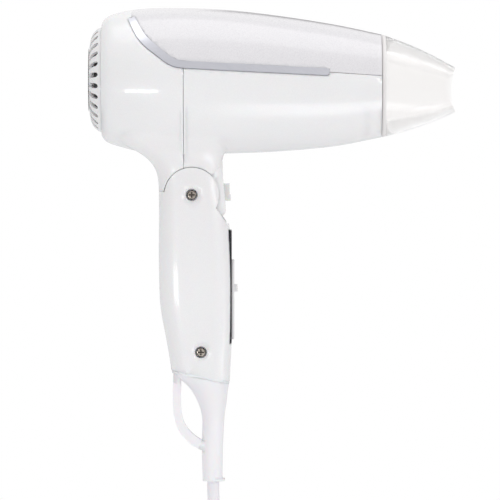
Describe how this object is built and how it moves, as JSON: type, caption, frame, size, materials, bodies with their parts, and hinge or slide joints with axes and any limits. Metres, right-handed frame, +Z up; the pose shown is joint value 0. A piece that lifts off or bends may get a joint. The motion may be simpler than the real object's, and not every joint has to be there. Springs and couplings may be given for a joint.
{
  "type": "folding hair dryer",
  "caption": "Folding hand-held hair dryer with a clear concentrator nozzle, slide switch, hanging loop and mains lead with plug.",
  "frame": {"origin": "middle of the hand grip, where a hand holds the dryer", "axes": "+X along the air flow towards the nozzle, +Z up along the handle to the barrel, +Y along the fold axis"},
  "size_m": [0.2011, 0.1673, 0.3184],
  "materials": {
    "pearl_shell": "pearl gloss",
    "pearl_cover": "pearl gloss, a little greyer",
    "satin_trim": "satin silver",
    "white_plastic": "smooth",
    "filter_mesh": "fine mesh",
    "inner_plastic": "moulded",
    "steel": "bright",
    "mica": "flaky",
    "heater_wire": "drawn wire",
    "brass": "stamped",
    "clear_plastic": "clear polished",
    "smoke_button": "translucent grey",
    "screw_steel": "bronzed steel",
    "dark_chrome": "dark mirror",
    "capacitor_case": "moulded",
    "lead_jacket": "smooth",
    "cord_jacket": "soft satin",
    "soft_relief": "soft satin",
    "tie_strap": "ribbed",
    "pin_brass": "nickel plated"
  },
  "bodies": {
    "handle": {"cord_clamp": "inner_plastic", "cord_coil": "cord_jacket", "cord_lead": "cord_jacket", "cord_stub": "cord_jacket", "cord_tail": "cord_jacket", "cord_tie": "tie_strap", "handle_screw": "screw_steel", "handle_shell_left": "pearl_shell", "handle_shell_right": "pearl_shell", "hinge_washers": "steel", "inner_leads": "lead_jacket", "noise_capacitor": "capacitor_case", "pivot_pin": "steel", "pivot_screw": "screw_steel", "plug_body": "cord_jacket", "plug_pins": "pin_brass", "slide_switch": "inner_plastic", "strain_relief": "soft_relief", "switch_bezel": "dark_chrome", "switch_panel": "white_plastic"},
    "barrel": {"rear_housing": "pearl_shell", "front_housing": "pearl_shell", "top_cover": "pearl_cover", "trim_strip_left": "satin_trim", "trim_strip_right": "satin_trim", "inlet_grille": "white_plastic", "inlet_filter": "filter_mesh", "fan_duct": "inner_plastic", "fan_motor": "steel", "heater_sleeve": "mica", "heater_former": "mica", "heating_rings": "heater_wire", "thermostat": "brass", "thermal_fuse": "steel", "outlet_grille": "inner_plastic", "cool_switch": "inner_plastic"},
    "fan": {"motor_shaft": "steel", "impeller": "inner_plastic"},
    "nozzle": {"concentrator_nozzle": "clear_plastic"},
    "cool_button": {"cool_button": "smoke_button"},
    "slider": {"switch_slider": "white_plastic"}
  },
  "joints": [
    {"name": "fold", "type": "hinge", "parent": "handle", "child": "barrel", "pos_m": [0, 0, 0.058], "axis": [0, 1, 0], "range_deg": [0, 72]},
    {"name": "fan_spin", "type": "hinge", "parent": "barrel", "child": "fan", "pos_m": [-0.03, 0, 0.12], "axis": [1, 0, 0], "continuous": true},
    {"name": "nozzle_pull", "type": "slide", "parent": "barrel", "child": "nozzle", "axis": [1, 0, 0], "range_m": [0, 0.012]},
    {"name": "cool_press", "type": "slide", "parent": "barrel", "child": "cool_button", "axis": [-1, 0, 0], "range_m": [0, 0.002], "stiffness_N_per_m": 500},
    {"name": "speed_slide", "type": "slide", "parent": "handle", "child": "slider", "axis": [0, 0, -1], "range_m": [0, 0.008]}
  ]
}
